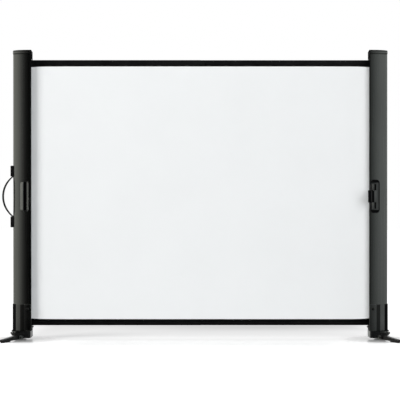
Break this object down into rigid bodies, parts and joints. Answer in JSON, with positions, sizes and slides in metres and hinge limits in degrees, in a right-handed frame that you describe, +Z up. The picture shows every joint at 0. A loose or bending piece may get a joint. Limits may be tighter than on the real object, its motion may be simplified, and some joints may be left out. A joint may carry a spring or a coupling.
{
  "type": "portable projection screen",
  "caption": "Free-standing 4:3 projection screen whose white sheet pulls out sideways between two upright half-oval housings on folding feet.",
  "frame": {"origin": "on the floor, midway between the two open housings and midway through their depth", "axes": "+X to the right as seen from the front, +Y to the rear, +Z up; the white face looks along -Y"},
  "size_m": [1.1916, 0.273, 0.8728],
  "materials": {
    "anodised_grey": "dark satin anodised",
    "black_plastic": "fine moulded grain",
    "rail_paint": "black powder coat",
    "steel": "zinc plated",
    "white_sheet": "matt white coated fabric",
    "rubber": "matt black"
  },
  "bodies": {
    "left_post": {"left_housing": "anodised_grey", "left_top_cap": "black_plastic", "left_bottom_plug": "black_plastic", "left_foot_socket": "black_plastic", "left_base": "black_plastic", "left_front_foot_pin": "steel", "left_rear_foot_pin": "steel", "left_socket_screw": "steel", "roller_top_cup": "steel", "roller_bottom_cup": "steel", "roller_spindle": "steel", "roller_spring": "steel", "screen_sheet": "white_sheet", "top_left_rail_bracket": "steel", "bottom_left_rail_bracket": "steel", "top_left_rail_pin": "steel", "bottom_left_rail_pin": "steel", "latch_catch": "black_plastic", "upper_handle_mount": "black_plastic", "lower_handle_mount": "black_plastic", "carry_handle": "rubber"},
    "roller": {"roller_tube": "anodised_grey", "wound_sheet": "white_sheet", "roller_top_plug": "black_plastic", "roller_bottom_plug": "black_plastic"},
    "top_left_link": {"top_left_rail": "rail_paint", "top_knee_pin": "steel", "top_knee_stop": "rail_paint"},
    "top_right_link": {"top_right_rail": "rail_paint"},
    "right_post": {"right_housing": "anodised_grey", "right_top_cap": "black_plastic", "right_bottom_plug": "black_plastic", "right_foot_socket": "black_plastic", "right_base": "black_plastic", "right_front_foot_pin": "steel", "right_rear_foot_pin": "steel", "right_socket_screw": "steel", "sheet_clamp_bar": "anodised_grey", "top_right_rail_bracket": "steel", "bottom_right_rail_bracket": "steel", "top_right_rail_pin": "steel", "bottom_right_rail_pin": "steel", "latch_frame": "black_plastic", "latch_hook_pin": "steel"},
    "bottom_left_link": {"bottom_left_rail": "rail_paint", "bottom_knee_pin": "steel", "bottom_knee_stop": "rail_paint"},
    "bottom_right_link": {"bottom_right_rail": "rail_paint"},
    "latch": {"latch_hook": "black_plastic"},
    "left_front_arm": {"left_front_foot": "black_plastic", "left_front_foot_pad": "rubber"},
    "left_rear_arm": {"left_rear_foot": "black_plastic", "left_rear_foot_pad": "rubber"},
    "right_front_arm": {"right_front_foot": "black_plastic", "right_front_foot_pad": "rubber"},
    "right_rear_arm": {"right_rear_foot": "black_plastic", "right_rear_foot_pad": "rubber"}
  },
  "joints": [
    {"name": "screen_fold", "type": "hinge", "parent": "left_post", "child": "top_left_link", "pos_m": [-0.523, 0.013, 0.8326], "axis": [0, 1, 0], "range_deg": [0, 88.3], "deforming": ["screen_sheet"]},
    {"name": "top_knee", "type": "hinge", "parent": "top_left_link", "child": "top_right_link", "pos_m": [0, 0.0165, 0.8326], "axis": [0, 1, 0], "range_deg": [-177, 0]},
    {"name": "top_right_pivot", "type": "hinge", "parent": "top_right_link", "child": "right_post", "pos_m": [0.523, 0.0165, 0.8326], "axis": [0, 1, 0], "range_deg": [0, 89]},
    {"name": "bottom_left_pivot", "type": "hinge", "parent": "left_post", "child": "bottom_left_link", "pos_m": [-0.523, 0.0225, 0.0534], "axis": [0, 1, 0], "range_deg": [-89, 0]},
    {"name": "bottom_knee", "type": "hinge", "parent": "bottom_left_link", "child": "bottom_right_link", "pos_m": [0, 0.026, 0.0534], "axis": [0, 1, 0], "range_deg": [0, 177]},
    {"name": "roller_turn", "type": "hinge", "parent": "left_post", "child": "roller", "pos_m": [-0.54, -0.008, 0.443], "axis": [0, 0, -1], "range_deg": [-10, 3700]},
    {"name": "latch_swing", "type": "hinge", "parent": "right_post", "child": "latch", "pos_m": [0.5195, -0.0434, 0.4325], "axis": [0, 0, -1], "range_deg": [0, 68]},
    {"name": "left_front_foot_fold", "type": "hinge", "parent": "left_post", "child": "left_front_arm", "pos_m": [-0.548, -0.05, 0.0093], "axis": [-0.907, 0.421, 0], "range_deg": [0, 90]},
    {"name": "left_rear_foot_fold", "type": "hinge", "parent": "left_post", "child": "left_rear_arm", "pos_m": [-0.548, 0.05, 0.0093], "axis": [0.907, 0.421, 0], "range_deg": [0, 90]},
    {"name": "right_front_foot_fold", "type": "hinge", "parent": "right_post", "child": "right_front_arm", "pos_m": [0.548, -0.05, 0.0093], "axis": [-0.907, -0.421, 0], "range_deg": [0, 90]},
    {"name": "right_rear_foot_fold", "type": "hinge", "parent": "right_post", "child": "right_rear_arm", "pos_m": [0.548, 0.05, 0.0093], "axis": [0.907, -0.421, 0], "range_deg": [0, 90]}
  ],
  "couplings": [
    {"joint": "top_knee", "follows": "screen_fold", "ratio": -2},
    {"joint": "top_right_pivot", "follows": "screen_fold", "ratio": 1},
    {"joint": "bottom_left_pivot", "follows": "screen_fold", "ratio": -1},
    {"joint": "bottom_knee", "follows": "screen_fold", "ratio": 2},
    {"joint": "roller_turn", "follows": "screen_fold", "ratio": 41.7}
  ]
}
